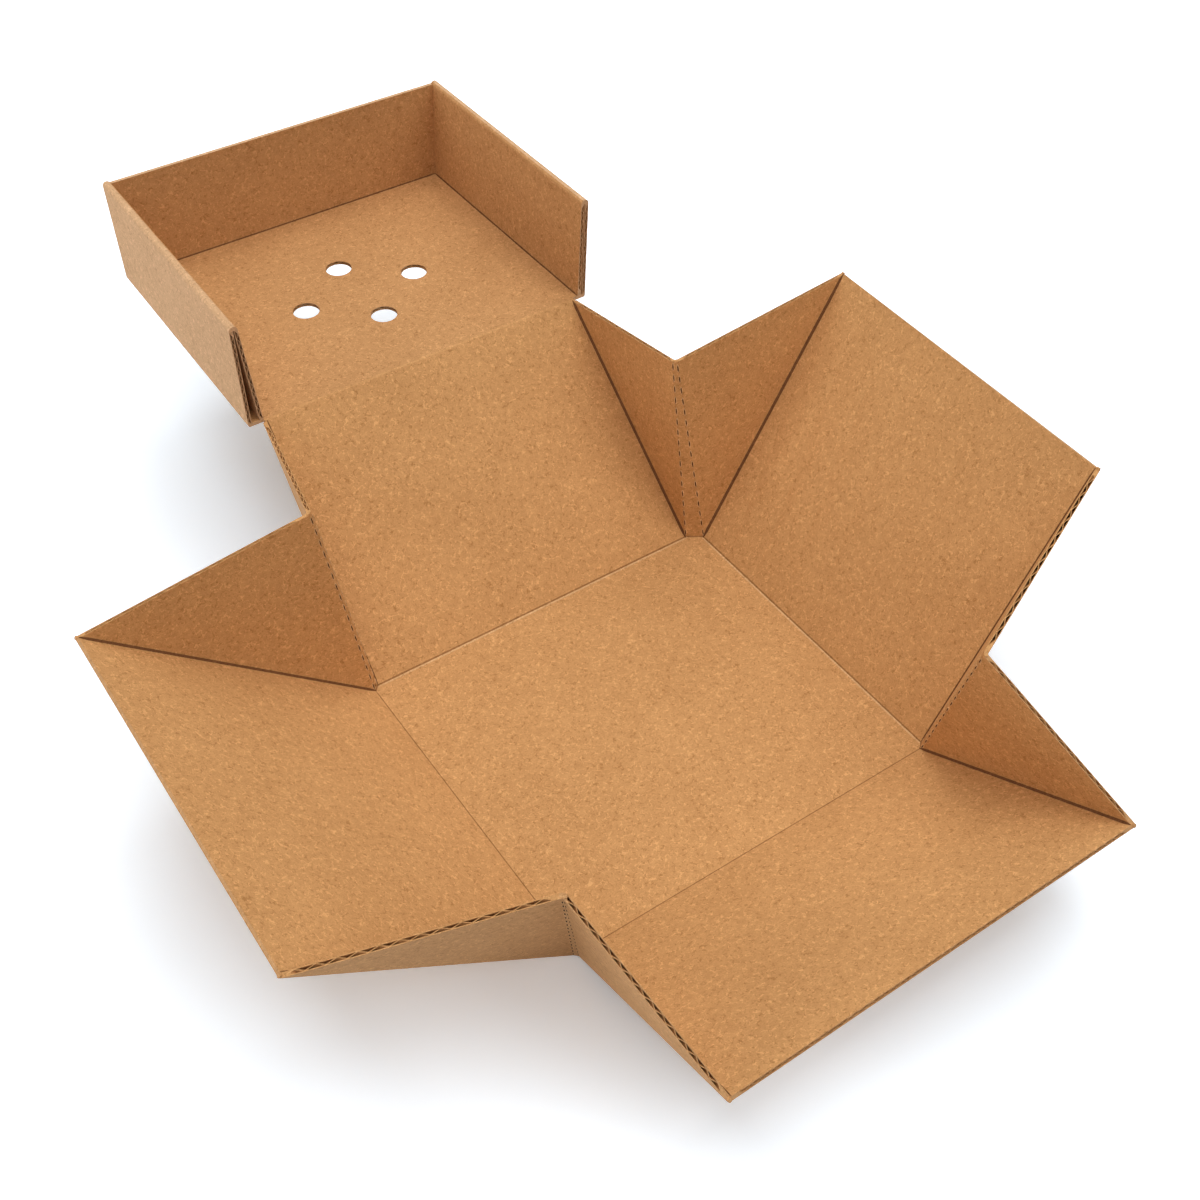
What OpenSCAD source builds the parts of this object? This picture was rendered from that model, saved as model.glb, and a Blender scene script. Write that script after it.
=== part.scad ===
// Burger box of brown corrugated board, standing open as it comes off the flat.
// One creased sheet: a tray of a base, four splayed walls and four folded corner webs,
// and a lid that hangs on the crease along the top of the rear wall.
// X points right, Y from the front wall to the lid, Z up. Millimetres.
// The origin is the centre of the base's underside.

/* [Board] */
// Thickness of the corrugated board
board_t = 1.2; // [1:0.1:1.8]
// Distance from one flute to the next
flute_pitch = 3.13; // [2.8:0.01:3.6]
// Thickness of each flat liner
liner_t = 0.2; // [0.15:0.05:0.3]
// Thickness of the wavy paper between the liners
medium_t = 0.15; // [0.1:0.05:0.2]

/* [Base] */
// Width of the base, crease to crease
base_w = 120; // [110:1:135]
// Depth of the base, crease to crease
base_d = 108; // [98:1:122]
// How far a corner's short crease cuts across the base's corner
corner_cut = 1.2; // [0.8:0.1:2]
// Rear right corner, which is folded open: its short crease along the side crease
open_side_cut = 3; // [2:0.5:5]
// Rear right corner: its short crease along the rear crease
open_end_cut = 4.4; // [3:0.2:6]
// Width of the small hole punched where the creases meet at the other three corners
corner_hole_d = 0.9; // [0.6:0.1:1.4]

/* [Walls] */
// Height of the left and right walls, measured up the board
side_h = 93; // [88:1:98]
// Height of the front wall, measured up the board
front_h = 71.5; // [68:0.5:76]
// Height of the rear wall, measured up the board
rear_h = 84.5; // [80:0.5:88]
// How far a side wall's top edge runs past the base at the rear
side_rear_flare = 8.7; // [6:0.1:11]
// How far a side wall's top edge runs past the base at the front
side_front_flare = -1.9; // [-4:0.1:1]
// How far the front wall's top edge runs past the base at each side
front_flare = 3; // [0:0.5:5]
// Length of the crease between the rear wall and the lid
hinge_w = 109.4; // [104:0.2:112]

/* [Corner notches] */
// Front notches: how far out from the base corner they are cut, across the side wall
front_notch_side = 50.5; // [48:0.5:53]
// Front notches: how far out from the base corner they are cut, across the front wall
front_notch_end = 42.1; // [40:0.1:45]
// Rear notches: how far out from the base corner they are cut, across the side wall
rear_notch_side = 43.5; // [41:0.5:46]
// Rear notches: how far out from the base corner they are cut, across the rear wall
rear_notch_end = 52.7; // [50:0.1:55]
// Width of a notch at its bottom, between the two ridge creases
notch_w = 0.8; // [0.6:0.1:2]

/* [Stance] */
// Lean of the left wall from upright, degrees
left_lean = 51; // [48:1:54]
// Lean of the right wall from upright at its rear end, degrees
right_rear_lean = 39; // [37:1:43]
// Lean of the right wall from upright at its front end, degrees
right_front_lean = 28.5; // [26:0.5:33]
// Lean of the front wall from upright, degrees
front_lean = 62.5; // [60:0.5:65]
// Lean of the rear wall from upright, degrees
rear_lean = 49; // [46:1:52]

/* [Lid] */
// Width of the lid over its side walls
lid_w = 119; // [115:1:125]
// Depth of the lid from its crease to the outside of its back wall
lid_d = 94; // [88:1:104]
// Height of the lid's walls over its panel
lid_wall_h = 34; // [26:1:40]
// How far behind the crease the lid's side walls begin
lid_wall_start = 1.3; // [0.8:0.1:3]
// Gap between the two layers of a side wall at its rolled top
layer_gap = 0.25; // [0.2:0.05:0.6]
// Angle between the two layers of the left side wall, degrees
left_spread = 4; // [0:0.2:5]
// Angle between the two layers of the right side wall, degrees
right_spread = 0.3; // [0:0.1:1.5]
// Outward lean of the lid's right side wall, degrees
lid_right_lean = 2.5; // [0:0.5:4]
// How much lower the lid's back wall is than its side walls
back_wall_drop = 0.6; // [0:0.1:2]

/* [Vents and locks] */
// Diameter of the four steam vents
vent_d = 8.5; // [6:0.1:10]
// Distance from the lid's crease to the centre of the vent group
vent_y = 43; // [38:0.5:50]
// Distance between the left and the right vent
vent_span_x = 39.3; // [32:0.1:50]
// Distance between the front and the rear vent
vent_span_y = 31; // [24:0.5:40]
// Length of each locking tab along the side wall
tab_l = 17; // [10:0.5:20]
// Distance from the lid's crease to the middle of a wall's pair of tabs
tab_mid_y = 47; // [42:1:50]
// Distance between a wall's front and rear tab
tab_spacing = 34; // [28:1:44]
// Clearance round a tab in its slot
slot_gap = 0.35; // [0.2:0.05:0.6]

/* [Lid crease] */
// Clearance between the tray and the lid on each side of the crease
crease_gap = 0.1; // [0.08:0.01:0.2]
// How far the lid drops below level before its crease is fully bent back, degrees
lid_drop_max = 36; // [25:1:40]

/* [Hidden] */

kraft = [0.76, 0.56, 0.35];

// A crease is an eight-sided rod along the fold, just thinner than the board.
crease_r = board_t / 2 - 0.04;
crease_sides = 8;
crease_past = 0.3;
// Flutes stop this far short of a crease, where the board is crushed, and are cut this far
// past an open edge.
crushed = 1.6;
past_edge = 1;
// Flutes run up to this far from a perforated crease, which is slit and not crushed.
slit = 0.3;
corner_hole_sides = 8;
// How far boards that meet in the lid's profile run into each other.
fold_lap = 0.05;
// How far a rolled wall's inner layer is pressed into the panel's liner.
seat = 0.15;
// A fold in the lid's profile is a twelve-sided disc.
fold_sides = 12;
vent_sides = 16;
// The right wall twists, so it is made of this many straight strips.
twist_strips = 8;

function unit(v) = v / norm(v);
function mix(a, b, s) = a + (b - a) * s;

// The third corner of a folded web: the point at distances rc, rp and rq from c, p and q,
// on the side of the three that faces the inside of the box.
function folded_corner(c, p, q, rc, rp, rq, inward) =
    let (
        ex = unit(p - c),
        i = ex * (q - c),
        ey = unit(q - c - i * ex),
        ez = cross(ex, ey),
        d = norm(p - c),
        j = ey * (q - c),
        x = (rc * rc - rp * rp + d * d) / (2 * d),
        y = (rc * rc - rq * rq + i * i + j * j) / (2 * j) - i * x / j,
        z = sqrt(max(0, rc * rc - x * x - y * y)),
        side = ez * inward > 0 ? 1 : -1
    )
    c + x * ex + y * ey + side * z * ez;

// Corners of the box, on the middle of the board's thickness.
// sx is -1 at the left and 1 at the right; sy is -1 at the front and 1 at the rear.
function side_lean(sx, sy) = sx < 0 ? left_lean : sy < 0 ? right_front_lean : right_rear_lean;
function end_lean(sy) = sy < 0 ? front_lean : rear_lean;
function side_flare(sy) = sy < 0 ? side_front_flare : side_rear_flare;
function end_flare(sy) = sy < 0 ? front_flare : (hinge_w - base_w) / 2;
function end_h(sy) = sy < 0 ? front_h : rear_h;
function notch_side(sy) = sy < 0 ? front_notch_side : rear_notch_side;
function notch_end(sy) = sy < 0 ? front_notch_end : rear_notch_end;

// The two ends of a corner's short crease: on the side crease, and on the front or rear one.
function side_cut(sx, sy) = sx > 0 && sy > 0 ? open_side_cut : corner_cut;
function end_cut(sx, sy) = sx > 0 && sy > 0 ? open_end_cut : corner_cut;
function foot_side(sx, sy) = [sx * base_w / 2, sy * (base_d / 2 - side_cut(sx, sy)), 0];
function foot_end(sx, sy) = [sx * (base_w / 2 - end_cut(sx, sy)), sy * base_d / 2, 0];
// The free corner of a side wall.
function tip_side(sx, sy) =
    let (a = side_lean(sx, sy))
    [sx * (base_w / 2 + side_h * sin(a)), sy * (base_d / 2 + side_flare(sy)), side_h * cos(a)];
// The free corner of the front or rear wall.
function tip_end(sx, sy) =
    let (a = end_lean(sy))
    [sx * (base_w / 2 + end_flare(sy)), sy * (base_d / 2 + end_h(sy) * sin(a)), end_h(sy) * cos(a)];
// The middle of a notch's bottom, from its place on the flat sheet, measured from the corner.
function notch_mid(sx, sy) =
    let (
        flat_notch = [notch_side(sy), notch_end(sy)],
        flat_side = [side_h, side_flare(sy)],
        flat_end = [end_flare(sy), end_h(sy)]
    )
    folded_corner([sx * base_w / 2, sy * base_d / 2, 0], tip_side(sx, sy), tip_end(sx, sy),
        norm(flat_notch), norm(flat_notch - flat_side), norm(flat_notch - flat_end),
        [-sx, -sy, 0]);
// The two ends of a notch's bottom: s is 1 towards the side wall, -1 towards the end wall.
// They lie parallel to the corner's short crease, so that the ridge's strip is flat.
function notch_corner(sx, sy, s) =
    notch_mid(sx, sy) + s * notch_w / 2 * unit(foot_side(sx, sy) - foot_end(sx, sy));

// The voids between the liners, seen on the board's cut end: triangles that point up and
// down in turn, from x = low to x = high, with x = 0 in the middle of one.
function flute_void(i) =
    let (
        inner = board_t / 2 - liner_t,
        slope = atan(4 * inner / flute_pitch),
        foot = flute_pitch / 2 - medium_t / 2 / sin(slope),
        peak = inner - medium_t / 2 / cos(slope),
        side = i % 2 == 0 ? 1 : -1,
        x = i * flute_pitch / 2
    )
    [[x - foot, -side * inner], [x + foot, -side * inner], [x, side * peak]];
function flute_voids(low, high) =
    [for (i = [ceil(2 * low / flute_pitch) + 1 : floor(2 * high / flute_pitch) - 1]) flute_void(i)];
// Closed outlines drawn as one shape, where an outline inside another is a hole.
module outlines(loops) {
    starts = [for (i = 0, n = 0; i < len(loops); n = n + len(loops[i]), i = i + 1) n];
    polygon(
        [for (loop = loops) each loop],
        [for (i = [0 : len(loops) - 1]) [for (k = [0 : len(loops[i]) - 1]) starts[i] + k]]
    );
}

// A panel's own frame lies on its first corner, with x towards the second.
function panel_x(corners) = unit(corners[1] - corners[0]);
function panel_z(corners) = unit(cross(corners[1] - corners[0], corners[2] - corners[0]));
function flat_corners(corners) =
    let (ex = panel_x(corners), ey = cross(panel_z(corners), ex))
    [for (c = corners) [(c - corners[0]) * ex, (c - corners[0]) * ey]];
module on_panel(corners) {
    ex = panel_x(corners);
    ez = panel_z(corners);
    ey = cross(ez, ex);
    multmatrix([
        [ex.x, ey.x, ez.x, corners[0].x],
        [ex.y, ey.y, ez.y, corners[0].y],
        [ex.z, ey.z, ez.z, corners[0].z],
        [0, 0, 0, 1]
    ])
        children();
}

// Corner i of an outline whose edges are moved inwards, edge k by shift[k]. Edge k runs from
// corner k to the next.
function moved_corner(outline, shift, i) =
    let (
        n = len(outline),
        before = unit(outline[i] - outline[(i + n - 1) % n]),
        after = unit(outline[(i + 1) % n] - outline[i]),
        n_1 = [-before.y, before.x],
        n_2 = [-after.y, after.x],
        s_1 = shift[(i + n - 1) % n],
        s_2 = shift[i],
        det = n_1.x * n_2.y - n_1.y * n_2.x
    )
    outline[i] + [s_1 * n_2.y - s_2 * n_1.y, s_2 * n_1.x - s_1 * n_2.x] / det;

// A flat panel of board through corners that lie in one plane. Where one edge is cut across
// the flutes, cut_edge is its number and run the flutes' direction in the panel's frame. The
// flutes that come out at that edge are hollow. Edge slit_edge is a perforated crease.
module panel(corners, cut_edge = undef, run = undef, slit_edge = -1) {
    flat = flat_corners(corners);
    on_panel(corners)
        difference() {
            linear_extrude(board_t, center = true)
                polygon(flat);
            if (!is_undef(cut_edge)) {
                shift = [for (k = [0 : len(flat) - 1])
                    k == cut_edge ? -past_edge : k == slit_edge ? slit : crushed];
                area = [for (i = [0 : len(flat) - 1]) moved_corner(flat, shift, i)];
                edge = [area[cut_edge], area[(cut_edge + 1) % len(area)]];
                across = [for (c = edge) c * [run.y, -run.x]];
                intersection() {
                    rotate([0, 0, atan2(run.y, run.x) - 90])
                        rotate([90, 0, 0])
                            linear_extrude(2 * norm(flat[1]) + 2 * norm(flat[2]), center = true)
                                outlines(flute_voids(min(across), max(across)));
                    linear_extrude(board_t, center = true)
                        polygon(area);
                }
            }
        }
}

// The direction of the flutes in a panel's own frame, from three corners on the flat sheet.
// Flutes run from front to rear, so they lie along Y there.
function flute_run(a, b, c) =
    let (
        e = unit(b - a),
        side = cross([e.x, e.y, 0], [c.x - a.x, c.y - a.y, 0]).z > 0 ? 1 : -1
    )
    [e.y, side * e.x];

// One crease, from a to b.
module crease(a, b) {
    d = unit(b - a);
    tilt = acos(d.z);
    turn = atan2(d.y, d.x);
    translate(a - d * crease_past)
        rotate([0, tilt, turn])
            cylinder(r = crease_r, h = norm(b - a) + 2 * crease_past, $fn = crease_sides);
}

// The base, with its four corners cut across by the short creases.
module base_panel() {
    outline = [
        foot_side(-1, -1), foot_end(-1, -1), foot_end(1, -1), foot_side(1, -1),
        foot_side(1, 1), foot_end(1, 1), foot_end(-1, 1), foot_side(-1, 1)
    ];
    linear_extrude(board_t, center = true)
        polygon([for (c = outline) [c.x, c.y]]);
}

// The right wall, ruled between its crease and its top edge, which aren't parallel.
module twisted_wall(bottom, top) {
    steps = [for (i = [0 : twist_strips]) i / twist_strips];
    low = [for (s = steps) mix(bottom[0], bottom[1], s)];
    high = [for (s = steps) mix(top[0], top[1], s)];
    low_out = [for (i = [0 : twist_strips])
        unit(cross(bottom[1] - bottom[0], high[i] - low[i])) * board_t / 2];
    high_out = [for (i = [0 : twist_strips])
        unit(cross(top[1] - top[0], high[i] - low[i])) * board_t / 2];
    n = twist_strips + 1;
    points = concat(
        [for (i = [0 : twist_strips]) low[i] + low_out[i]],
        [for (i = [0 : twist_strips]) high[i] + high_out[i]],
        [for (i = [0 : twist_strips]) low[i] - low_out[i]],
        [for (i = [0 : twist_strips]) high[i] - high_out[i]]
    );
    strips = [for (i = [0 : twist_strips - 1]) each [
        [i, n + i, n + i + 1], [i, n + i + 1, i + 1],
        [2 * n + i, 3 * n + i + 1, 3 * n + i], [2 * n + i, 2 * n + i + 1, 3 * n + i + 1],
        [i, i + 1, 2 * n + i + 1], [i, 2 * n + i + 1, 2 * n + i],
        [n + i, 3 * n + i + 1, n + i + 1], [n + i, 3 * n + i, 3 * n + i + 1]
    ]];
    last = twist_strips;
    ends = [
        [0, 2 * n, 3 * n], [0, 3 * n, n],
        [last, n + last, 3 * n + last], [last, 3 * n + last, 2 * n + last]
    ];
    polyhedron(points, concat(strips, ends));
}

// One corner web: two triangles of board and the narrow strip between its ridge creases.
module web(sx, sy) {
    fs = foot_side(sx, sy);
    fe = foot_end(sx, sy);
    ts = tip_side(sx, sy);
    te = tip_end(sx, sy);
    ms = notch_corner(sx, sy, 1);
    me = notch_corner(sx, sy, -1);
    flat_notch = [notch_side(sy), notch_end(sy)];
    panel([fs, ts, ms], 1,
        flute_run([0, -side_cut(sx, sy)], [side_h, side_flare(sy)], flat_notch), 2);
    panel([fe, te, me], 1,
        flute_run([-end_cut(sx, sy), 0], [end_flare(sy), end_h(sy)], flat_notch), 2);
    panel([fs, fe, me, ms]);
    crease(fs, ts);
    crease(fe, te);
    crease(fs, fe);
    crease(fs, ms);
    crease(fe, me);
}

// The lid's crease lies on the inside face of the rear wall, at its top.
hinge_in = [0, -cos(rear_lean), sin(rear_lean)];
hinge_up = [0, sin(rear_lean), cos(rear_lean)];
hinge = mix(tip_end(-1, 1), tip_end(1, 1), 0.5) + hinge_in * board_t / 2;
// Both sides of the crease are cut back below, so that the lid can drop.
crease_bevel = (90 - rear_lean + lid_drop_max) / 2;

// What the tray loses beyond the lid's crease. Its face leans back from the crease.
module beyond_crease() {
    block = 4 * board_t;
    length = hinge_w + 8 * board_t;
    translate(hinge - hinge_up * crease_gap)
        rotate([90 - rear_lean - crease_bevel, 0, 0])
            translate([-length / 2, 0, -block])
                cube([length, block, 2 * block]);
}

// The small holes at the three tight corners, where the creases meet.
module corner_holes() {
    for (at = [[-1, -1], [-1, 1], [1, -1]])
        translate([at.x * (base_w / 2 - corner_cut / 2), at.y * (base_d / 2 - corner_cut / 2), 0])
            cylinder(d = corner_hole_d, h = 4 * board_t, center = true, $fn = corner_hole_sides);
}

module tray() {
    color(kraft)
        translate([0, 0, board_t / 2])
            difference() {
                union() {
                    base_panel();
                    panel([foot_side(-1, -1), foot_side(-1, 1), tip_side(-1, 1), tip_side(-1, -1)]);
                    twisted_wall([foot_side(1, -1), foot_side(1, 1)], [tip_side(1, -1), tip_side(1, 1)]);
                    panel([foot_end(-1, -1), foot_end(1, -1), tip_end(1, -1), tip_end(-1, -1)], 2, [0, 1]);
                    panel([foot_end(-1, 1), foot_end(1, 1), tip_end(1, 1), tip_end(-1, 1)]);
                    for (sx = [-1, 1]) {
                        crease(foot_side(sx, -1), foot_side(sx, 1));
                        for (sy = [-1, 1])
                            web(sx, sy);
                    }
                    for (sy = [-1, 1])
                        crease(foot_end(-1, sy), foot_end(1, sy));
                }
                beyond_crease();
                corner_holes();
            }
}

// The lid is modelled flat on its panel: x across, y back from the crease, z up from the
// middle of the panel's board.
wall_mid = (lid_w - board_t) / 2;
tab_ys = [tab_mid_y - tab_spacing / 2, tab_mid_y + tab_spacing / 2];
layer_pitch = board_t + layer_gap;
rolled_r = board_t + layer_gap / 2;
roll_z = lid_wall_h + board_t / 2 - rolled_r;
// The width of the panel between its rows of slots.
panel_flutes_w = 2 * (wall_mid - layer_pitch - roll_z * tan(left_spread) - board_t - slot_gap);

// A stretch of board seen on its cut end, from x = 0 to x = length, with its flutes or plain.
module board_end(length, fluted = true) {
    edge = [[0, -board_t / 2], [length, -board_t / 2], [length, board_t / 2], [0, board_t / 2]];
    outlines(concat([edge], fluted ? flute_voids(0, length) : []));
}

// The inner layer of a rolled side wall, seen on its cut end: down from the roll's middle
// to the panel, and further by tail.
module inner_layer(spread, tail = 0) {
    translate([-layer_pitch / 2, roll_z])
        rotate(-spread)
            translate([-layer_pitch / 2, 0])
                rotate(-90)
                    board_end((roll_z - board_t / 2 + seat) / cos(spread) + tail);
}

// A rolled side wall seen on its cut end: up from the crease and over the top.
module rolled_wall(spread) {
    circle(r = board_t / 2, $fn = fold_sides);
    rotate(90)
        board_end(roll_z);
    translate([-layer_pitch / 2, roll_z])
        intersection() {
            circle(r = rolled_r, $fn = fold_sides);
            translate([-rolled_r, -fold_lap])
                square([2 * rolled_r, rolled_r + 2 * fold_lap]);
        }
    inner_layer(spread);
}

// Stands a profile of the right-hand wall in its place, or of the left-hand one.
module right_place() {
    translate([wall_mid, 0])
        rotate(-lid_right_lean)
            children();
}
module left_place() {
    mirror([1, 0])
        translate([wall_mid, 0])
            children();
}

// Runs a profile along the lid from y_0 to y_1.
module along_lid(y_0, y_1) {
    translate([0, y_1, 0])
        rotate([90, 0, 0])
            linear_extrude(y_1 - y_0)
                children();
}

module lid_walls() {
    along_lid(lid_wall_start, lid_d) {
        right_place() rolled_wall(right_spread);
        left_place() rolled_wall(left_spread);
    }
    for (y = tab_ys)
        along_lid(y - tab_l / 2, y + tab_l / 2) {
            right_place() inner_layer(right_spread, board_t);
            left_place() inner_layer(left_spread, board_t);
        }
}

// The slots in the panel, open beside the tabs and at their ends.
module slots() {
    for (y = tab_ys)
        for (side = [[1, right_spread], [-1, left_spread]]) {
            x = wall_mid - layer_pitch - roll_z * tan(side[1]);
            translate([side[0] * (x + (layer_gap - slot_gap) / 2), y, 0])
                cube([board_t + slot_gap + layer_gap, tab_l + 2 * slot_gap, 2 * board_t], center = true);
        }
}

// The panel, narrower at its crease than between its side walls. Its flutes run back from the
// front edge, clear of the slots, and end at the back crease.
module lid_panel() {
    difference() {
        union() {
            along_lid(lid_wall_start, lid_d - board_t / 2)
                translate([-wall_mid, 0])
                    board_end(2 * wall_mid, false);
            along_lid(0, lid_wall_start + fold_lap)
                translate([-hinge_w / 2, 0])
                    board_end(hinge_w, false);
        }
        along_lid(-past_edge, lid_d - board_t / 2 - crushed)
            outlines(flute_voids(-panel_flutes_w / 2, panel_flutes_w / 2));
    }
}

module lid_back_wall() {
    width = lid_w - 2 * board_t;
    translate([-width / 2, lid_d - board_t, 0])
        cube([width, board_t, lid_wall_h + board_t / 2 - back_wall_drop]);
    crease([-wall_mid, lid_d - board_t / 2, 0], [wall_mid, lid_d - board_t / 2, 0]);
}

// The front vent, the rear vent and one at each side.
module vents() {
    for (spot = [[0, -vent_span_y / 2], [0, vent_span_y / 2], [-vent_span_x / 2, 0], [vent_span_x / 2, 0]])
        translate([spot.x, vent_y + spot.y, -board_t])
            cylinder(d = vent_d, h = 2 * board_t, $fn = vent_sides);
}

// The lid's front edge is cut back below its crease, like the tray's.
module lid_bevel() {
    block = 4 * board_t;
    length = lid_w + 8 * board_t;
    translate([0, crease_gap, board_t / 2])
        rotate([crease_bevel, 0, 0])
            translate([-length / 2, -block, -2 * block])
                cube([length, block, 3 * block]);
}

// The crease lies on the panel's upper face, so the panel's middle is half a board lower,
// and the whole box stands half a board above its middle.
module lid() {
    color(kraft)
        translate(hinge)
            difference() {
                union() {
                    difference() {
                        lid_panel();
                        slots();
                    }
                    lid_walls();
                    lid_back_wall();
                }
                vents();
                lid_bevel();
            }
}

tray();
lid();
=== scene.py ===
from math import cos, radians, sin, sqrt

import bpy
from mathutils import Matrix, Vector


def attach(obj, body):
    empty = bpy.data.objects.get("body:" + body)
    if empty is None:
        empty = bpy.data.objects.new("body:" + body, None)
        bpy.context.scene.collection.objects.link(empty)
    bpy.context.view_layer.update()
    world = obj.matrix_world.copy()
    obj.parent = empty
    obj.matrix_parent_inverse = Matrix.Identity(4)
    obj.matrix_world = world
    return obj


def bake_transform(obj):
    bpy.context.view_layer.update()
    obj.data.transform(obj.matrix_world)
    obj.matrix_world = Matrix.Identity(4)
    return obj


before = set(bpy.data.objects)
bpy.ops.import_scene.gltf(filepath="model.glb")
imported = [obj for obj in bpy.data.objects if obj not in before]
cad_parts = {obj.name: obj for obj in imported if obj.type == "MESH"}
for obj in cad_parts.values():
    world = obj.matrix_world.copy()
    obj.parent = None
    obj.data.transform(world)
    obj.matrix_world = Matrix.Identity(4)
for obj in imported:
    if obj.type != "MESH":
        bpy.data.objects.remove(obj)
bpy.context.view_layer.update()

# The camera stands off the box's front left corner, about 0.47 m away, and looks down at 46
# degrees. Its lens and its place come from a fit to the box's corners in the photograph.
look_azimuth, look_down, look_roll = radians(34.74), radians(46.01), radians(0.40)
look_at = Vector((0.01566, 0.04564, 0.00135))
look_distance = 0.46629
image_side = 1200
focal_pixels = 1498.3
forward = Vector((sin(look_azimuth) * cos(look_down), cos(look_azimuth) * cos(look_down), -sin(look_down)))
level = forward.cross(Vector((0, 0, 1))).normalized()
upward = level.cross(forward)
right = cos(look_roll) * level + sin(look_roll) * upward
top = cos(look_roll) * upward - sin(look_roll) * level
camera_data = bpy.data.cameras.new("camera")
camera_data.sensor_width = 36
camera_data.sensor_fit = "HORIZONTAL"
camera_data.lens = focal_pixels / image_side * camera_data.sensor_width
camera_data.clip_start = 0.01
camera = bpy.data.objects.new("camera", camera_data)
bpy.context.scene.collection.objects.link(camera)
turn = Matrix((right, top, -forward)).transposed().to_4x4()
camera.matrix_world = Matrix.Translation(look_at - forward * look_distance) @ turn
bpy.context.scene.camera = camera
bpy.context.scene.view_settings.view_transform = "Standard"

# The studio is a white table in a white room, under five softboxes. The table is a plain matt
# grey-white, and only the camera sees it and the room whiter, so the box keeps its own shadow.
bpy.ops.object.select_all(action="DESELECT")
bpy.ops.mesh.primitive_plane_add(size=8, location=(0, 0, 0))
table = bpy.context.object
table.name = "table"


def wire(tree, kind, **sockets):
    """Adds a node; its sockets are set to numbers or joined to other nodes' outputs."""
    made = tree.nodes.new("ShaderNode" + kind)
    for name, value in sockets.items():
        if name in ("operation", "data_type"):
            setattr(made, name, value)
            continue
        place = int(name[1:]) if name[0] == "_" and name[1:].isdigit() else name.replace("_", " ")
        if isinstance(value, bpy.types.NodeSocket):
            tree.links.new(value, made.inputs[place])
        else:
            made.inputs[place].default_value = value
    return made


white = bpy.data.materials.new("white_table")
white.use_nodes = True
shade = white.node_tree.nodes["Principled BSDF"]
shade.inputs["Roughness"].default_value = 0.9
shade.inputs["Specular IOR Level"].default_value = 0.0
matt_grey, camera_white = (0.8, 0.8, 0.8, 1), (1.22, 1.33, 1.43, 1)
glow_starts, glow_full = 0.22, 0.8
surface = white.node_tree


def seen_directly(tree):
    """1 where the camera or a mirror sees the surface, and 0 where it only lights the box."""
    rays = wire(tree, "LightPath")
    camera_ray, glossy_ray = rays.outputs["Is Camera Ray"], rays.outputs["Is Glossy Ray"]
    return wire(tree, "Math", operation="MAXIMUM", _0=camera_ray, _1=glossy_ray).outputs[0]


seen = seen_directly(surface)
table_tone = wire(surface, "Mix", data_type="RGBA", _0=seen, _6=matt_grey, _7=camera_white)
surface.links.new(table_tone.outputs[2], shade.inputs["Base Color"])
spread = wire(surface, "VectorMath", operation="LENGTH", _0=wire(surface, "TexCoord").outputs["Object"])
far_out = wire(surface, "MapRange", Value=spread.outputs["Value"], _1=glow_starts, _2=glow_full)
haze = wire(surface, "Math", operation="MULTIPLY", _0=seen, _1=far_out.outputs[0])
shade.inputs["Emission Color"].default_value = (1, 1, 1, 1)
surface.links.new(haze.outputs[0], shade.inputs["Emission Strength"])
table.data.materials.append(white)

room = bpy.data.worlds.new("room")
bpy.context.scene.world = room
room.use_nodes = True
air = room.node_tree
air.nodes["Background"].inputs["Color"].default_value = (1, 1, 1, 1)
bright = wire(air, "Math", operation="MULTIPLY_ADD", _0=seen_directly(air), _1=0.95, _2=0.05)
air.links.new(bright.outputs[0], air.nodes["Background"].inputs["Strength"])


def softbox(name, azimuth, height, size, energy):
    """A square softbox 1.2 m from the box. Azimuth 0 is behind the box and 90 to its right."""
    a, h = radians(azimuth), radians(height)
    away = Vector((sin(a) * cos(h), cos(a) * cos(h), sin(h)))
    data = bpy.data.lights.new(name, "AREA")
    data.size = size
    data.energy = energy
    lamp = bpy.data.objects.new(name, data)
    bpy.context.scene.collection.objects.link(lamp)
    lamp.location = Vector((0, 0.05, 0)) + away * 1.2
    lamp.rotation_euler = away.to_track_quat("Z", "Y").to_euler()


softbox("overhead", 0, 89, 1.0, 8.5)
softbox("right_rear", 45, 45, 0.8, 4.1)
softbox("right_front", 150, 45, 0.8, 4.2)
softbox("front", -145, 45, 0.8, 2.2)
softbox("low_left", -75, 18, 0.6, 5.4)

# The tray: the base, its four splayed walls and the four folded corner webs of one creased
# sheet. The board is brown corrugated kraft: a yellower liner faces in, a paler one faces out.


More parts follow.
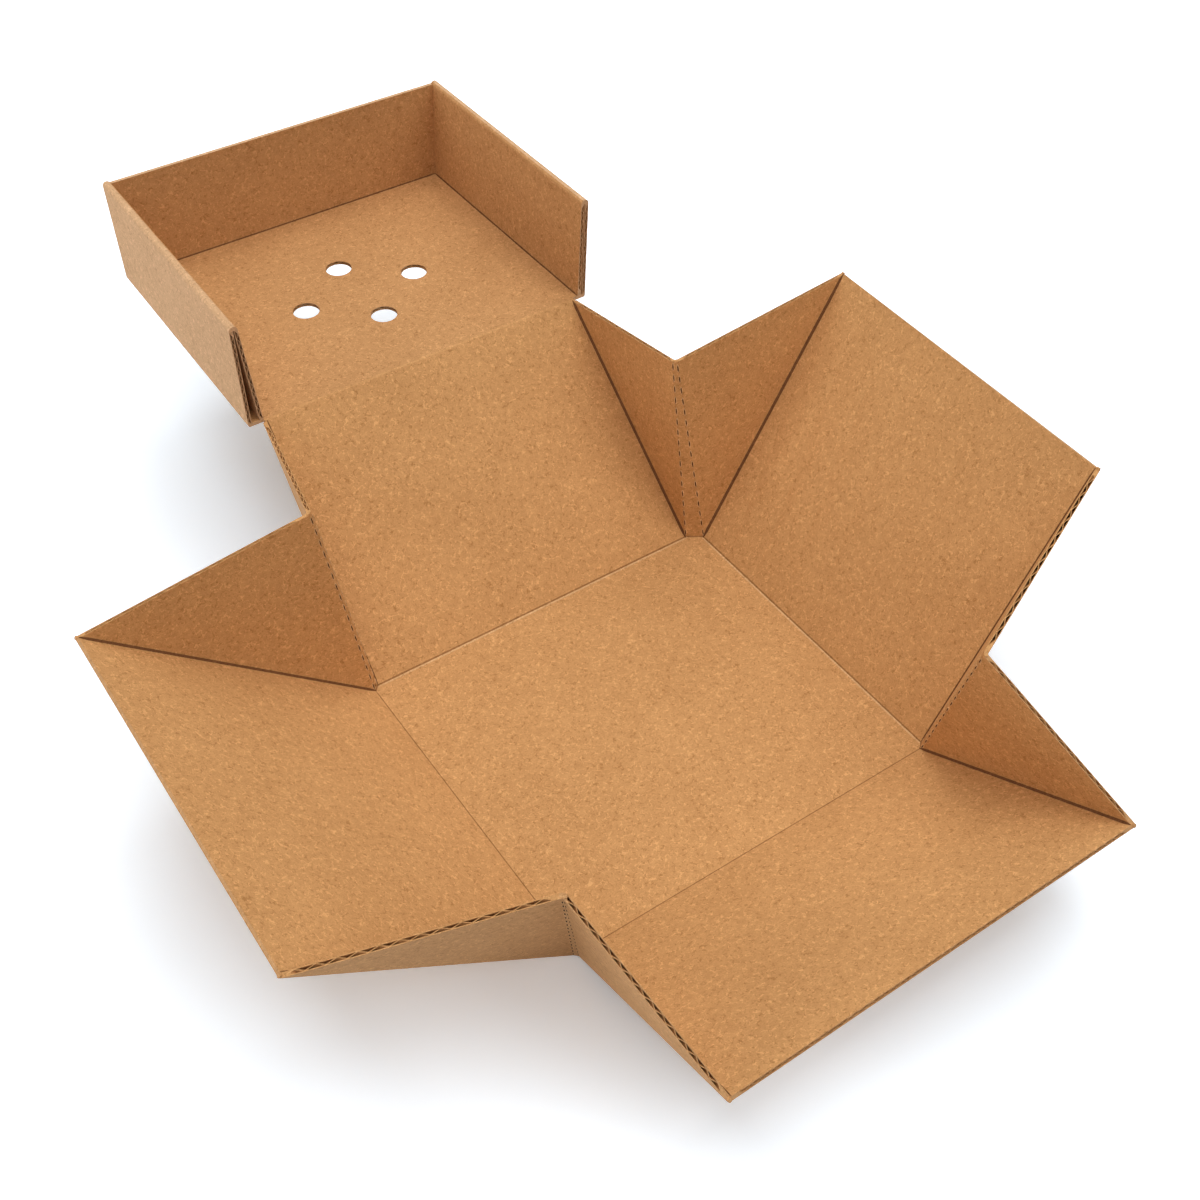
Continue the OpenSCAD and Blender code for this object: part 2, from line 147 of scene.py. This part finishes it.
def kraft_paper(name, tone, back_tone=None, middle=(0, 0, 0)):
    """Kraft liner: cloudy pulp, fine grain, squiggly light and dark fibres and a few specks.

    Faces that look away from the middle take the back tone.
    """
    paper = bpy.data.materials.new(name)
    paper.use_nodes = True
    tree = paper.node_tree
    shade = tree.nodes["Principled BSDF"]
    spot = wire(tree, "TexCoord")
    place = spot.outputs["Object"]
    cloud = wire(tree, "TexNoise", Vector=place, Scale=38.0, Detail=3.0, Roughness=0.6).outputs["Fac"]
    pulp = wire(tree, "TexNoise", Vector=place, Scale=420.0, Detail=3.0, Roughness=0.65).outputs["Fac"]
    grain = wire(tree, "TexNoise", Vector=place, Scale=2300.0, Detail=2.0, Roughness=0.7).outputs["Fac"]
    sway = wire(tree, "TexNoise", Vector=place, Scale=1100.0, Detail=1.0).outputs["Color"]
    bend = (0.0017, 0.0017, 0.0017)
    bent = wire(tree, "VectorMath", operation="MULTIPLY_ADD", _0=sway, _1=bend, _2=place).outputs["Vector"]

    def fibres(offset, scale, width, rarity):
        moved = wire(tree, "VectorMath", operation="ADD", _0=bent, _1=offset).outputs["Vector"]
        wave = wire(tree, "TexNoise", Vector=moved, Scale=scale, Detail=0.0).outputs["Fac"]
        off = wire(tree, "Math", operation="SUBTRACT", _0=wave, _1=0.5).outputs[0]
        far = wire(tree, "Math", operation="ABSOLUTE", _0=off).outputs[0]
        line = wire(tree, "MapRange", Value=far, _1=0.0, _2=width, _3=1.0, _4=0.0).outputs[0]
        patch = wire(tree, "TexNoise", Vector=moved, Scale=scale * 1.7, Detail=0.0).outputs["Fac"]
        here = wire(tree, "MapRange", Value=patch, _1=rarity, _2=rarity + 0.04, _3=0.0, _4=1.0).outputs[0]
        return wire(tree, "Math", operation="MULTIPLY", _0=line, _1=here).outputs[0]

    light = fibres((0.31, 0.17, 0.05), 540.0, 0.055, 0.46)
    dark = fibres((-0.23, 0.41, 0.29), 500.0, 0.045, 0.48)
    dots = wire(tree, "TexNoise", Vector=place, Scale=1500.0, Detail=0.0).outputs["Fac"]
    speck = wire(tree, "MapRange", Value=dots, _1=0.72, _2=0.78, _3=0.0, _4=1.0).outputs[0]
    level = 0.0
    shares = (cloud, 0.30), (pulp, 0.62), (grain, 0.80), (light, 0.52), (dark, -0.46), (speck, -0.3)
    for part, share in shares:
        level = wire(tree, "Math", operation="MULTIPLY_ADD", _0=part, _1=share, _2=level).outputs[0]
    factor = wire(tree, "MapRange", Value=level, _1=0.40, _2=1.34, _3=0.0, _4=1.0).outputs[0]
    deep = tuple(c * k for c, k in zip(tone, (0.72, 0.66, 0.58))) + (1,)
    pale = tuple(c * k for c, k in zip(tone, (1.28, 1.34, 1.42))) + (1,)
    colour = wire(tree, "Mix", data_type="RGBA", _0=factor, _6=deep, _7=pale).outputs[2]
    if back_tone:
        outward = wire(tree, "VectorMath", operation="SUBTRACT", _0=place, _1=middle).outputs["Vector"]
        normal = spot.outputs["Normal"]
        facing = wire(tree, "VectorMath", operation="DOT_PRODUCT", _0=outward, _1=normal).outputs["Value"]
        outside = wire(tree, "Math", operation="GREATER_THAN", _0=facing, _1=0.0).outputs[0]
        deep = tuple(c * k for c, k in zip(back_tone, (0.74, 0.70, 0.64))) + (1,)
        pale = tuple(c * k for c, k in zip(back_tone, (1.26, 1.30, 1.36))) + (1,)
        back = wire(tree, "Mix", data_type="RGBA", _0=factor, _6=deep, _7=pale).outputs[2]
        colour = wire(tree, "Mix", data_type="RGBA", _0=outside, _6=colour, _7=back).outputs[2]
    tree.links.new(colour, shade.inputs["Base Color"])
    shade.inputs["Roughness"].default_value = 0.82
    shade.inputs["Specular IOR Level"].default_value = 0.2
    height = wire(tree, "Math", operation="MULTIPLY_ADD", _0=light, _1=0.6, _2=grain).outputs[0]
    bump = wire(tree, "Bump", Strength=0.5, Distance=0.00008, Height=height)
    tree.links.new(bump.outputs["Normal"], shade.inputs["Normal"])
    return paper


tray_paper = kraft_paper("tray_kraft", (0.560, 0.290, 0.110), (0.540, 0.292, 0.124), (0, 0, 0.1))
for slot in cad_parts["tray"].material_slots:
    slot.material = tray_paper

# The lid: the same sheet beyond the crease on the rear wall. Its side walls are rolled, so
# the outer liner shows on both of their sides.
# Its inner tone is the tray's made about 6% darker: painted shade for the lid's panel among its walls. The
# paler outer tone is the outer liner's own colour.
shaded_lid_paper = kraft_paper("lid_kraft_painted_shade", (0.530, 0.270, 0.105), (0.620, 0.375, 0.200), (0, 0.164, 0.073))
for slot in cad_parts["lid"].material_slots:
    slot.material = shaded_lid_paper

# The creases: lines that a blunt steel rule presses into the board before it is folded. At the foot of each
# valley lies a dark brown rod, under a millimetre wide: painted shade for the shadow in the crease.
board = 0.0012
half = Vector((0, 0, board / 2))
feet_side = {
    "front_left": (-60, -52.8), "rear_left": (-60, 52.8),
    "front_right": (60, -52.8), "rear_right": (60, 51),
}
feet_end = {
    "front_left": (-58.8, -54), "rear_left": (-58.8, 54),
    "front_right": (58.8, -54), "rear_right": (55.6, 54),
}
side_tips = {
    "front_left": (-132.275, -52.1, 58.53), "rear_left": (-132.275, 62.7, 58.53),
    "front_right": (104.376, -52.1, 81.73), "rear_right": (118.527, 62.7, 72.27),
}
end_tips = {
    "front_left": (-63, -117.421, 33.015), "front_right": (63, -117.421, 33.015),
    "rear_left": (-54.7, 117.773, 55.437), "rear_right": (54.7, 117.773, 55.437),
}
notches = {
    "front_left": (-74.18, -70.95, 61.92), "rear_left": (-66.66, 62.07, 67.53),
    "front_right": (49.77, -71.82, 62.45), "rear_right": (52.49, 60.85, 67.57),
}
corners = list(notches)


def millimetres(point):
    return Vector(tuple(point) + (0,) * (3 - len(point))) / 1000 + half


foot_side = {c: millimetres(feet_side[c]) for c in corners}
foot_end = {c: millimetres(feet_end[c]) for c in corners}
tip_side = {c: millimetres(side_tips[c]) for c in corners}
tip_end = {c: millimetres(end_tips[c]) for c in corners}
notch_half = {c: 0.0004 * (foot_side[c] - foot_end[c]).normalized() for c in corners}
notch_side = {c: millimetres(notches[c]) + notch_half[c] for c in corners}
notch_end = {c: millimetres(notches[c]) - notch_half[c] for c in corners}


def facing_in(a, b, c):
    """The unit normal of the panel through three points, on the side of the box's inside."""
    n = (b - a).cross(c - a).normalized()
    return n if n.dot(Vector((0, 0, 0.1)) - (a + b + c) / 3) > 0 else -n


up = Vector((0, 0, 1))
web_side_in = {c: facing_in(foot_side[c], tip_side[c], notch_side[c]) for c in corners}
web_end_in = {c: facing_in(foot_end[c], tip_end[c], notch_end[c]) for c in corners}
ridge_in = {c: facing_in(foot_side[c], foot_end[c], notch_end[c]) for c in corners}
along_side = {c: Vector((0, -0.05 if "rear" in c else 0.05, 0)) for c in corners}
along_end = {c: Vector((0.05 if "left" in c else -0.05, 0, 0)) for c in corners}
wall_in = {c: facing_in(foot_side[c], tip_side[c], foot_side[c] + along_side[c]) for c in corners}
end_wall_in = {c: facing_in(foot_end[c], tip_end[c], foot_end[c] + along_end[c]) for c in corners}

# The rods in the web and lid valleys are near-black brown: painted shade.
dark_crease_shade = kraft_paper("dark_crease_painted_shade", (0.150, 0.062, 0.021))
bpy.ops.object.select_all(action="DESELECT")
bpy.ops.mesh.primitive_cylinder_add(vertices=8, radius=0.5, depth=0.94)
painted_crease_rod = bpy.context.object
bpy.ops.object.mode_set(mode="EDIT")
bpy.ops.transform.resize(value=(1, 0.14, 1))
for end in (-1, 1):
    bpy.ops.mesh.select_all(action="DESELECT")
    bpy.ops.object.mode_set(mode="OBJECT")
    for face in painted_crease_rod.data.polygons:
        face.select = face.normal.z * end > 0.9
    bpy.ops.object.mode_set(mode="EDIT")
    bpy.ops.mesh.select_mode(type="FACE")
    bpy.ops.mesh.extrude_region_move(TRANSFORM_OT_translate={"value": (0, 0, end * 0.03)})
    bpy.ops.transform.resize(value=(0.25, 0.25, 1))
bpy.ops.object.mode_set(mode="OBJECT")


def gather(name, copies, paper, body):
    """Joins copies into one piece of the board, with its place in its mesh."""
    bpy.ops.object.select_all(action="DESELECT")
    for one in copies:
        one.select_set(True)
    bpy.context.view_layer.objects.active = copies[0]
    bpy.ops.object.transform_apply(location=True, rotation=True, scale=True)
    if len(copies) > 1:
        bpy.ops.object.join()
    piece = bpy.context.object
    piece.name = name
    if paper:
        piece.data.materials.append(paper)
    if body:
        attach(piece, body)
    return piece


def copied(pattern, place):
    """A copy of a pattern with a mesh of its own, put in its place."""
    one = pattern.copy()
    one.data = pattern.data.copy()
    bpy.context.scene.collection.objects.link(one)
    one.matrix_world = place
    return one


def lying(a, b, lift, width):
    """Where a painted crease rod goes: from a to b, flat towards lift."""
    run = (b - a).normalized()
    side = lift.cross(run).normalized()
    turned = Matrix((side, run.cross(side), run)).transposed().to_4x4()
    turned.translation = (a + b) / 2
    return turned @ Matrix.Diagonal((width, width, (b - a).length, 1))


def valley(a, b, n_1, n_2, width):
    """A rod of painted shade in the valley between two panels, on the side that their normals face."""
    corner = board / 2 * (n_1 + n_2) / (1 + n_1.dot(n_2))
    across = (n_1 + n_2).normalized()
    spread = sqrt(max(0, (1 - n_1.dot(n_2)) / (1 + n_1.dot(n_2))))
    lift = corner + across * (width / 2 * spread - 0.00003)
    return copied(painted_crease_rod, lying(a + lift, b + lift, across, width))


web_crease_shade = []
for c in corners:
    width = 0.00095 if c == "rear_right" else 0.0008
    web_crease_shade.append(valley(foot_side[c], tip_side[c], wall_in[c], web_side_in[c], width))
    web_crease_shade.append(valley(foot_end[c], tip_end[c], end_wall_in[c], web_end_in[c], width))
gather("web_crease_shade", web_crease_shade, dark_crease_shade, "tray")

# Rods in the base's creases and at the webs' ridges, darker than the board: painted shade.
soft_crease_shade = kraft_paper("soft_crease_painted_shade", (0.300, 0.138, 0.048))
base_crease_shade = []
for one, two, side, normal in (
    ("front_left", "rear_left", foot_side, wall_in), ("front_right", "rear_right", foot_side, wall_in),
    ("front_left", "front_right", foot_end, end_wall_in), ("rear_left", "rear_right", foot_end, end_wall_in),
):
    width = 0.0006 if "right" in one or "rear" in one else 0.00045
    base_crease_shade.append(valley(side[one], side[two], up, (normal[one] + normal[two]).normalized(), width))
for c in corners:
    base_crease_shade.append(valley(foot_side[c], foot_end[c], up, ridge_in[c], 0.0005))
gather("base_crease_shade", base_crease_shade, soft_crease_shade, "tray")

# The bead beside two of the base's creases: paper that the rule pushes up along its edge. The raised rod is
# real; its paler colour is a painted highlight.
bead_highlight = kraft_paper("raised_bead_painted_highlight", (0.640, 0.385, 0.180))
beads = []
inboard = 0.00085
for a, b, away in (
    (foot_side["front_right"], foot_side["rear_right"], Vector((-1, 0, 0))),
    (foot_end["rear_left"], foot_end["rear_right"], Vector((0, -1, 0))),
):
    lift = away * inboard + up * (board / 2)
    beads.append(copied(painted_crease_rod, lying(a + lift, b + lift, up, 0.0006)))
gather("crease_bead_highlight", beads, bead_highlight, "tray")

# The perforations: short cuts, about 2 mm long, that let the two ridge creases of each corner
# web fold inwards. Each has a lip where the knife came through. The slit is an inlay painted near-black
# for the shade inside the cut, and the lip takes the bead's paler colour as a painted highlight.
slit_shade = kraft_paper("slit_painted_shade", (0.085, 0.034, 0.012))
bpy.ops.object.select_all(action="DESELECT")
bpy.ops.mesh.primitive_cylinder_add(vertices=10, radius=0.5, depth=0.4)
knife_cut = bpy.context.object
bpy.ops.object.mode_set(mode="EDIT")
bpy.ops.transform.resize(value=(0.85, 2.9, 1))
bpy.ops.mesh.select_all(action="DESELECT")
bpy.ops.object.mode_set(mode="OBJECT")
for face in knife_cut.data.polygons:
    face.select = face.normal.z > 0.9
bpy.ops.object.mode_set(mode="EDIT")
bpy.ops.mesh.select_mode(type="FACE")
bpy.ops.transform.translate(value=(0, 0, -0.17))
bpy.ops.mesh.inset(thickness=0.14)
bpy.ops.transform.translate(value=(0, 0, 0.1))
bpy.ops.mesh.inset(thickness=0.07)
bpy.ops.transform.translate(value=(0, 0, -0.07))
bpy.ops.object.mode_set(mode="OBJECT")
knife_cut.data.materials.append(bead_highlight)
knife_cut.data.materials.append(slit_shade)
for face in knife_cut.data.polygons:
    face.material_index = 1 if face.select else 0

cut_pitch = 0.004
for c in corners:
    cuts = []
    for foot, tip, n_web in (
        (foot_side[c], notch_side[c], web_side_in[c]), (foot_end[c], notch_end[c], web_end_in[c]),
    ):
        run = (tip - foot).normalized()
        across = (n_web + ridge_in[c]).normalized()
        mitre = board / 2 / across.dot(n_web)
        steps = int((tip - foot).length / cut_pitch)
        for face_in, height in ((1, board / 2 * 0.93), (-1, mitre)):
            n = across * face_in
            side = run.cross(n)
            for k in range(steps):
                at = foot + run * ((k + 0.6) * cut_pitch) + n * height
                turned = Matrix((side, run, n)).transposed().to_4x4()
                turned.translation = at
                cuts.append(copied(knife_cut, turned @ Matrix.Scale(0.001, 4)))
    gather("perforations_" + c, cuts, None, "tray")
bpy.data.objects.remove(knife_cut)

# The lid's hinge is a plain crease: the board's two liners run on over it, from the rear wall
# to the lid, and bend there.
hinge = Vector((0, 0.117379, 0.05649))
hinge_w = 0.1094
wall_lean = radians(49)
down_wall = Vector((0, -sin(wall_lean), -cos(wall_lean)))
wall_face = Vector((0, -cos(wall_lean), sin(wall_lean)))


def bent_liner(name, corner, half_width, proud, thickness, side):
    """A strip of liner over the crease, from the rear wall's face to the lid's."""
    bpy.ops.object.select_all(action="DESELECT")
    bpy.ops.mesh.primitive_grid_add(x_subdivisions=20, y_subdivisions=8, size=1, location=corner)
    strip = bpy.context.object
    strip.name = name
    bpy.ops.object.transform_apply(location=True, rotation=True, scale=True)
    bpy.ops.object.mode_set(mode="EDIT")
    bpy.ops.transform.resize(value=(hinge_w - 0.0006, 2 * half_width, 1), center_override=corner)
    bpy.ops.mesh.select_all(action="DESELECT")
    bpy.ops.object.mode_set(mode="OBJECT")
    for vertex in strip.data.vertices:
        reach = vertex.co.y - corner.y
        if reach < 0:
            vertex.co = Vector((vertex.co.x, corner.y, corner.z)) - down_wall * reach
        vertex.co += (up if reach >= 0 else wall_face) * proud * side
    solid = strip.modifiers.new("paper", "SOLIDIFY")
    solid.thickness = thickness
    solid.offset = -side
    bpy.ops.object.modifier_apply(modifier="paper")
    strip.data.materials.append(tray_paper)
    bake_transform(strip)
    return strip


bent_liner("hinge_inner_liner", hinge, 0.0009, 0.00003, 0.0001, 1)
outer_corner = hinge - board * (up + wall_face) / (1 + up.dot(wall_face))
bent_liner("hinge_outer_liner", outer_corner, 0.0022, 0.00003, 0.0001, -1)

# Lid folds: rods of painted shade in the joint where each rolled wall's inner layer meets the panel, and in
# the crease at the foot of the back wall.
lid_joint_shade = []
for a, b in (
    ((56.71, 118.9, 56.49), (56.71, 210.1, 56.49)),
    ((-54.57, 118.9, 56.49), (-54.57, 210.1, 56.49)),
    ((-54.5, 210.17, 56.49), (56.6, 210.17, 56.49)),
):
    a, b = Vector(a) / 1000, Vector(b) / 1000
    inward = Vector((-a.x - b.x, 0, 0)) if a.x == b.x else Vector((0, -1, 0))
    across = (up + inward.normalized()).normalized()
    lift = across * 0.00022
    lid_joint_shade.append(copied(painted_crease_rod, lying(a + lift, b + lift, across, 0.00055)))
gather("lid_joint_shade", lid_joint_shade, dark_crease_shade, "lid")
bpy.data.objects.remove(painted_crease_rod)
